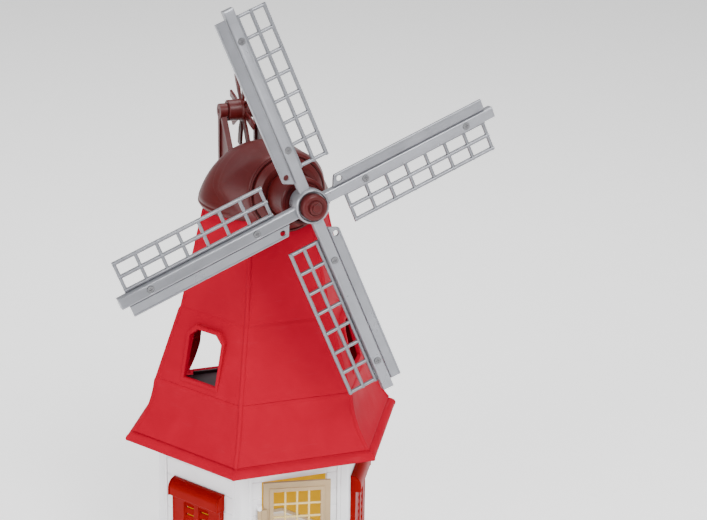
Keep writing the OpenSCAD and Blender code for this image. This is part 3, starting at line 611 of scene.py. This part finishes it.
def hoods():
    """A frame round each window that stands out more towards its top: the section is carried round the
    outline."""
    w = window_w / 2
    def outline(grow):
        return np.array([[-w - grow, -grow], [w + grow, -grow], [w + grow, window_h - chamfer_h + grow / 2],
                         [w + grow - chamfer_w, window_h + grow], [chamfer_w - w - grow, window_h + grow],
                         [-w - grow, window_h - chamfer_h + grow / 2]]) + [0, sill_z]
    low, high = sill_z - hood_t, sill_z + window_h + hood_t
    parts = []
    def wall_at(z):
        return K30 * (skirt_r - storey_step + (middle_r - skirt_r + storey_step) * (z - skirt_top) / middle_h)
    def front_at(z):
        return np.interp(z, [low, high], [wall_at(low) + 0.8, wall_at(high) + hood_out])
    for turn in (-60, 60):
        loops = []
        for grow, at, sink in ((0.0, wall_at, -0.3), (0.0, front_at, -0.5), (0.5, front_at, 0.0),
                               (hood_t - 0.5, front_at, 0.0), (hood_t, front_at, -0.5),
                               (hood_t, wall_at, -0.3)):
            line = outline(grow)
            loops.append(on_wall(turn, line[:, 0], at(line[:, 1]) + sink, line[:, 1]))
        parts.append(tube(np.stack(loops), "joined"))
    piece("window_frames", parts, "mill", "tower_red", ["window_hoods"], rounding=0.25, crease=20)

def floors():
    """The upper floor and the lip along its open back edge."""
    piece("upper_floor_plate", [copied("upper_floor")], "mill", "floor_brown", ["upper_floor"], rounding=0.4)


# ---------- cap ----------

wide = brim_r / math.cos(math.radians(dome_start))
high = (dome_h - brim_h) / (1 - math.sin(math.radians(dome_start)))
middle = brim_z + dome_h - high

def dome_radius(z):
    """Radius of the dome at a height: the ellipse above the brim, and the brim's radius below."""
    rise = np.clip((z - middle) / high, -1, 1)
    return np.where(z > brim_z + brim_h, wide * np.sqrt(1 - rise ** 2), brim_r)

def dome():
    """The dome: an ellipse's arc over a rounded brim with a slanted underside, turned about the tower's
    axis."""
    a = np.radians(np.linspace(dome_start + 2, 90, 34))
    outer = np.stack([wide * np.cos(a), middle + high * np.sin(a)], 1)
    a = np.radians(np.linspace(90, dome_start + 8, 26))
    inner = np.stack([(wide - dome_t) * np.cos(a), middle + (high - dome_t) * np.sin(a)], 1)
    brim = eased([[ledge_r, brim_z + ledge_t], [ledge_r, brim_z], [brim_r - 2.4, brim_z],
                  [brim_r - 0.2, brim_z + 3.4], [brim_r - 0.2, brim_z + brim_h - 0.4],
                  [brim_r - 0.9, brim_z + brim_h + 0.6], outer[0]], 0.7, closed=False)
    floor = [[inner[-1, 0] - 1.0, brim_z + ledge_t]]
    profile = np.concatenate([outer[::-1], brim[::-1][1:], floor, inner[::-1]])
    piece("cap_shell", [turned(profile, plain, 128)], "mill", "cap_brown", ["cap_dome"], crease=30)

def neck_radius(a, back, shrink=0.0):
    """The neck's radius at an angle and a distance back: the softer of a cone that widens towards the dome
    and a wide arch under a level top. The two join by a smooth least value, -log(exp(-kx) + exp(-ky)) / k."""
    cone = neck_r - shrink + back * math.tan(math.radians(neck_flare))
    wide_r, drop = neck_wide - shrink, neck_r + top_room - neck_wide
    arch = drop * np.sin(a) + np.sqrt(wide_r ** 2 - (drop * np.cos(a)) ** 2)
    k = 1.2
    return -np.log(np.exp(-k * (cone - 60)) + np.exp(-k * (arch - 60))) / k + 60

def over_dome(p):
    """The way out of the dome at each point, and how far the point lies over it: along d from the ellipse's
    middle by |d| (1 - 1 / sqrt((x^2 + y^2) / wide^2 + z^2 / high^2)), or straight out from the brim."""
    d = p - [0, 0, middle]
    length = np.linalg.norm(d, axis=-1)
    far = np.sqrt((d[..., 0] ** 2 + d[..., 1] ** 2) / wide ** 2 + d[..., 2] ** 2 / high ** 2)
    out = np.maximum(np.hypot(p[..., 0], p[..., 1]), 1.0)
    crown = p[..., 2] > brim_z + brim_h
    way = np.where(crown[..., None], d / length[..., None], p * [1, 1, 0] / out[..., None])
    return way, np.where(crown, length * (1 - 1 / far), out - brim_r)

def neck():
    """An arch carried from the ring back to where each of its lines meets the brim, or a little past where
    it meets the dome. It joins the dome by a soft fillet: a height s over the dome becomes
    (s + sqrt(s^2 + fillet^2)) / 2."""
    a = np.linspace(0, 2 * math.pi, 160, endpoint=False)
    past, fillet = 12.0, 2.4
    def line(shrink, back):
        r = neck_radius(a[None, :], back, shrink)
        return on_shaft(r * np.cos(a), r * np.sin(a), neck_w - seat - back)
    def lengths(shrink):
        back = np.linspace(0, hub_reach + neck_w, 900)[:, None]
        p = line(shrink, back)
        hit = np.hypot(p[..., 0], p[..., 1]) < dome_radius(p[..., 2]) - 0.15
        hit |= p[..., 2] < brim_z + 0.05
        hit[-1] = True
        first = np.argmax(hit, 0)
        return back[first, 0], p[first, np.arange(len(a)), 2]
    length, meets = lengths(0.0)
    t = np.clip((meets - brim_z - 1) / 8, 0, 1)
    rows = np.linspace(0.03, 1, 44)[:, None]
    outer = line(0.0, rows * (length + past * (3 * t ** 2 - 2 * t ** 3)))
    way, over = over_dome(outer)
    soft = (over + np.sqrt(over ** 2 + (fillet * t) ** 2)) / 2
    soft = soft - t * np.interp(rows, [0.75, 0.97, 1.0], [0.0, 1.0, 1.0]) * (soft - np.minimum(soft, 0.04))
    soft[-1] = np.minimum(soft[-1], -0.2 * t + over[-1] * (1 - t))
    outer = outer + way * (soft - over)[..., None]
    inner = line(dome_t, np.linspace(1, 0, 6)[:, None] * lengths(dome_t)[0])
    rounds = np.array([[1.2, 0.0], [0.55, 0.12], [0.15, 0.5]])
    edge = [on_shaft((neck_r - cut) * np.cos(a), (neck_r - cut) * np.sin(a), neck_w - seat - back)
            for cut, back in rounds]
    grid = np.concatenate([np.stack(edge), outer, inner])
    piece("cap_throat", [tube(grid, "joined")], "mill", "cap_brown", ["cap_neck"], crease=50)

def housing():
    """Flange, bevelled ring and barrel, turned about the shaft, with eased edges and a fine groove behind
    each."""
    w0, w1 = neck_w, barrel_front
    flange_r, ring_w = neck_r - 1.0, w0 + ring_t
    profile = [[shaft_r + 0.05, w0], [flange_r, w0], [flange_r, w0 + 1.2], [flange_r - 0.6, w0 + 1.6],
               [flange_r - 1.2, w0 + 1.6], [flange_r - 1.2, w0 + 0.2], [ring_r, w0 + 0.2],
               [ring_r, ring_w - 4.3], [ring_r - 4.3, ring_w], [barrel_r + 1.2, ring_w],
               [barrel_r + 0.9, ring_w - 0.8], [barrel_r, ring_w - 0.8], [barrel_r, w1 - 1.2],
               [barrel_r - 1.2, w1], [barrel_r - 3.0, w1], [barrel_r - 3.4, w1 - 1.0],
               [collar_r + 0.8, w1 - 1.0], [shaft_r + 0.05, w1 - 1.0]]
    profile = eased(profile, 0.35)
    piece("shaft_barrel", [turned(profile, on_shaft, 112, "joined")], "mill", "cap_brown", ["shaft_housing"],
          crease=30)


# ---------- sails ----------

def hub_and_nose():
    """The hub is a cup on a collar, and the nose a stepped knob in the cup, both turned about the shaft."""
    cup = hub_out - cup_depth
    inner = hub_r - cup_wall
    profile = [[0, cup], [inner, cup], [inner, hub_out - 0.3], [inner + 0.4, hub_out],
               [hub_r - 0.9, hub_out], [hub_r, hub_out - 0.9], [hub_r, 0.2], [hub_r - 0.3, 0.0],
               [hub_r, -0.2], [hub_r, -stock_t + 0.6], [hub_r - 0.6, -stock_t], [collar_r, -stock_t],
               [collar_r, barrel_front + 0.9], [collar_r - 0.4, barrel_front + 0.5],
               [shaft_r, barrel_front + 0.5], [shaft_r, neck_w - 2], [0, neck_w - 2]]
    piece("hub_cup", [turned(eased(profile, 0.3, False), on_shaft)], "sails", "sail_grey", ["sail_hub"],
          crease=30)
    base, side = cup + seat, cup_depth + 3.5
    a = np.radians(np.linspace(0, 90, 9))
    shoulder = np.stack([nose_r - 2.6 + 2.6 * np.cos(a), base + side - 0.2 + 2.2 * np.sin(a)], 1)
    profile = np.concatenate([[[0, base], [nose_r, base]], shoulder,
                              [[nose_r * 0.58, base + side + 1.9], [nose_r * 0.54, base + side + 1.5],
                               [nose_r * 0.50, base + side + 1.6], [nose_r * 0.49, base + side + 3.4],
                               [nose_r * 0.44, base + side + 3.6], [0, base + side + 3.6]]])
    knob = turned(profile, on_shaft, 72)
    six = np.radians(np.arange(6) * 60 + 15)
    nut = np.stack([nose_r / 3 * np.cos(six), nose_r / 3 * np.sin(six)], 1)
    parts = [knob, extruded(nut, on_shaft, base + side + 3.2, base + side + 4.95)]
    piece("nose_knob", parts, "sails", "cap_brown", ["nose_cap"], rounding=0.15, crease=45)

def with_rounds(u, v, middles, radius):
    """Grid lines across and along, and the same with squares about the middles drawn out to circles: a point
    keeps its larger distance m from the middle, and its direction, so it moves to m (du, dv) / |(du, dv)|."""
    steps = np.array([-1.0, -0.97, -0.5, 0.0, 0.5, 0.97, 1.0]) * radius
    u = np.unique(np.round(np.concatenate([u] + [m[0] + steps for m in middles]), 4))
    v = np.unique(np.round(np.concatenate([v] + [m[1] + steps for m in middles]), 4))
    grid_v, grid_u = np.meshgrid(v, u, indexing="ij")
    round_u, round_v, nearest = grid_u.copy(), grid_v.copy(), np.full(grid_u.shape, 1e9)
    for m in middles:
        du, dv = grid_u - m[0], grid_v - m[1]
        far, length = np.maximum(abs(du), abs(dv)), np.maximum(np.hypot(du, dv), 1e-9)
        near = far < radius * 1.001
        round_u = np.where(near, m[0] + du * far / length, round_u)
        round_v = np.where(near, m[1] + dv * far / length, round_v)
        nearest = np.minimum(nearest, far)
    return round_u, round_v, nearest

def sail_stock(number):
    """The stock: its front leans a little away from the board and falls away in a quarter ellipse at each
    side, with a round pocket at each screw."""
    half, eased_at = stock_w / 2, stock_w / 2 - 1.2
    edge = np.linspace(eased_at, half, 5)
    u = np.concatenate([-edge[::-1], edge])
    v = np.array([hub_r - 0.8, sail_r - 1.2, sail_r - 0.4, sail_r])
    u, v, near = with_rounds(u, v, [(0.0, at) for at in screw_at], pocket_r)
    fall = 1.0 - np.sqrt(np.clip(1 - ((abs(u) - eased_at).clip(0) / 1.2) ** 2, 0, 1))
    tip = np.interp(v, [sail_r - 1.2, sail_r - 0.4, sail_r], [0, 0.3, 1.0])
    pocket = np.where(near < pocket_r * 0.98, pocket_depth, np.where(near < pocket_r * 1.001, 0.15, 0.0))
    front = -np.maximum(fall, tip) - pocket - 0.12 * (half + u)
    back = np.full_like(front, -stock_t)
    return sheet(on_sail(number, u, v, front), on_sail(number, u, v, back))

def sail_board(number):
    """The board beside the stock: a thin plate with a raised outer rim, a cut inner corner and a round
    hole."""
    inner, outer, end = -stock_w / 2 - 0.8, -board_w, sail_r - 6.2
    edges = [outer, outer + 0.3, outer + 1.1, outer + 1.5, inner - 0.5, inner]
    v = np.array([26.0, 33.0, end - 1.0, end - 0.6, end])
    u, v, near = with_rounds(np.array(edges), v, [board_hole], board_hole_r)
    start = np.interp(u[:1], [outer, outer + 1.1, inner], [26.0, 25.0, 21.4])
    u, v, near = np.concatenate([u[:1], u]), np.concatenate([start, v]), np.concatenate([near[:1] + 9, near])
    rim = np.interp(u, edges, [0.1, 0.55, 0.55, 0.0, 0.0, -0.4])
    mid = (near[1:, 1:] + near[:-1, :-1] + near[1:, :-1] + near[:-1, 1:]) / 4
    front, back = on_sail(number, u, v, rim - board_down), on_sail(number, u, v, -board_down - board_t)
    return sheet(front, back, mid > board_hole_r * 0.99)

def sails():
    """Stocks with their boards, and the lattices: bars with rounded tops laid in a ladder of square cells."""
    for number in (1, 2, 3, 4):
        name = "sail_%d" % number
        piece(name + "_stock", [sail_stock(number), sail_board(number)], "sails", "sail_grey", [name],
              crease=28)
        place = lambda u, v, h, number=number: on_sail(number, u, v, lattice_front - lattice_t + h)
        inner = stock_w / 2 + seat
        column, pitch = (lattice_w - inner - bar_w) / 2, (lattice_len - bar_w) / cells
        ladder = []
        for i in range(3):
            u = inner + bar_w / 2 + i * column
            ladder.append(bar(place, (u, lattice_r0), (u, lattice_r0 + lattice_len), bar_w, lattice_t))
        for i in range(cells + 1):
            v = lattice_r0 + bar_w / 2 + i * pitch
            ladder.append(bar(place, (inner + 0.2, v), (lattice_w - 0.1, v), bar_w - 0.2, lattice_t - 0.25))
        piece("lattice_%d_bars" % number, ladder, "sails", "sail_grey", ["lattice_%d" % number], crease=40,
              material=lattice_grey)


# ---------- tail fan ----------

def fan():
    """A hub turned about the axle, a spider plate, and thin arms that carry pitched paddles."""
    hub_len = frame_gap - boss_len - 1.0
    end, shoulder = hub_len / 2, fan_plane - 2.6
    wide_r, nose = fan_hub_r + 1.2, fan_hub_r * 0.8
    profile = [[0, -end], [fan_hub_r - 0.5, -end], [fan_hub_r, -end + 0.5], [fan_hub_r, shoulder],
               [wide_r, fan_plane - 0.9], [wide_r, fan_plane + 0.9], [nose, fan_plane + 1.2],
               [nose, end - 0.5], [nose - 0.5, end], [0, end]]
    parts = [turned(eased(profile, 0.3, False), on_fan, 64)]
    reach = (frame_gap + boss_len - 1) / 2
    parts.append(turned([[0, -reach], [axle_r, -reach], [axle_r, reach], [0, reach]], on_fan, 32))
    for i in range(blades):
        a = math.radians(first_blade + 360 * i / blades)
        pitch = math.radians(blade_pitch)
        def place(along, side, thick):
            q = side * math.cos(pitch) - thick * math.sin(pitch)
            x = side * math.sin(pitch) + thick * math.cos(pitch)
            c, s = math.cos(a), math.sin(a)
            return on_fan(along * c - q * s, along * s + q * c, fan_plane + x)
        root, tip, w = fan_hub_r, fan_r - 1.2, blade_w / 2
        share = np.array([0.0, 0.22, 0.30, 0.36, 0.42, 0.70, 0.95, 1.0])
        along = root + (tip - root) * share
        half = np.interp(share, [0, 0.22, 0.36, 0.95, 1.0], [w * 0.72, w * 0.72, w, w, w - 0.7])
        across = np.array([-1.0, -0.82, -0.6, 0.0, 0.6, 0.82, 1.0])
        rim = np.where((np.abs(across) > 0.9)[None, :] | (share > 0.97)[:, None], 0.6, 1.1)
        grid = place(along[:, None], half[:, None] * across, rim)
        back = place(along[:, None], half[:, None] * across, -rim)
        parts.append(sheet(grid, back))
        parts.append(bar(place, (root - 3, 0), ((root + tip) / 2, 0), 2.2, 2.2, -1.1))
    piece("fan_blades", parts, "fan", "cap_brown", ["fan_wheel"], crease=40)

def fan_frame_look():
    """The two side frames keep their shape, rounded at every edge, with a stepped disc on each boss."""
    parts = [copied("fan_frames")]
    discs = []
    for side in (-1, 1):
        end = side * (frame_gap / 2 + boss_len / 2)
        proud, deep, rim_r = end + side * 0.02, end - side * 1.5, boss_r - 0.3
        profile = [[0, end - side * 0.4], [boss_r * 0.5, end - side * 0.4], [boss_r * 0.56, proud],
                   [rim_r, proud], [rim_r, deep], [0, deep]]
        discs.append(turned(eased(profile, 0.25, False), on_fan, 40))
    piece("fan_side_frames", parts + discs, "mill", "cap_brown", ["fan_frames"], rounding=0.45, crease=40)


# ---------- stage ----------

def camera():
    """The camera stands in front of the windmill, a little to its left and above it."""
    place = Vector((-0.4926, -1.4716, 0.8054))
    look = Vector((0.3422, 0.8814, -0.3258)).normalized()
    roll = math.radians(1.035)
    level = look.cross(Vector((0, 0, 1))).normalized()
    upright = level.cross(look)
    across = level * math.cos(roll) + upright * math.sin(roll)
    above = across.cross(look)
    data = bpy.data.cameras.new("view")
    data.lens = 101.5
    data.sensor_width = 36
    data.clip_end = 50
    cam = bpy.data.objects.new("view", data)
    bpy.context.collection.objects.link(cam)
    cam.matrix_world = Matrix.Translation(place) @ Matrix((across, above, -look)).transposed().to_4x4()
    bpy.context.scene.camera = cam

def soft_light(name, place, size, power):
    """A large soft lamp turned to face the windmill."""
    data = bpy.data.lights.new(name, "AREA")
    data.energy = power
    data.shape = "DISK"
    data.size = size
    lamp = bpy.data.objects.new(name, data)
    bpy.context.collection.objects.link(lamp)
    lamp.location = place
    lamp.rotation_euler = (Vector((0, 0, 0.25)) - Vector(place)).to_track_quat("-Z", "Y").to_euler()

def studio():
    """A pale flat floor, an even sky and four soft lamps."""
    world = bpy.data.worlds.new("studio")
    bpy.context.scene.world = world
    world.use_nodes = True
    sky = world.node_tree.nodes["Background"].inputs
    sky["Color"].default_value = (1, 1, 1, 1)
    sky["Strength"].default_value = 0.45
    soft_light("key", (0.2, -1.7, 2.0), 1.1, 54)
    soft_light("front", (1.45, -1.7, 0.75), 0.9, 13)
    soft_light("side", (-1.8, -0.9, 0.9), 1.2, 26)
    soft_light("top", (0.1, 0.6, 2.2), 1.6, 42)
    mesh = bpy.data.meshes.new("floor")
    corners = [(x, y, -0.0004) for x, y in ((-6, -6), (6, -6), (6, 6), (-6, 6))]
    mesh.from_pydata(corners, [], [(0, 1, 2, 3)])
    floor = bpy.data.objects.new("floor", mesh)
    bpy.context.collection.objects.link(floor)
    paper = plastic("studio_floor", (0.95, 0.95, 0.95, 1.0), 0.01, (0.7, 0.8), 0.0, 0.0)
    glow = paper.node_tree.nodes["Principled BSDF"].inputs
    glow["Emission Color"].default_value = (1, 1, 1, 1)
    glow["Emission Strength"].default_value = 0.45
    mesh.materials.append(paper)

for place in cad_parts["sail_screws"].material_slots:
    place.material = finishes["screw_steel"]

foot_ring()
walls()
posts()
linings()
shutter("left_shutter", -60)
shutter("right_shutter", 60)
shutter_boxes_look()
door()
tower()
hoods()
floors()
dome()
neck()
housing()
hub_and_nose()
sails()
fan()
fan_frame_look()
studio()
camera()
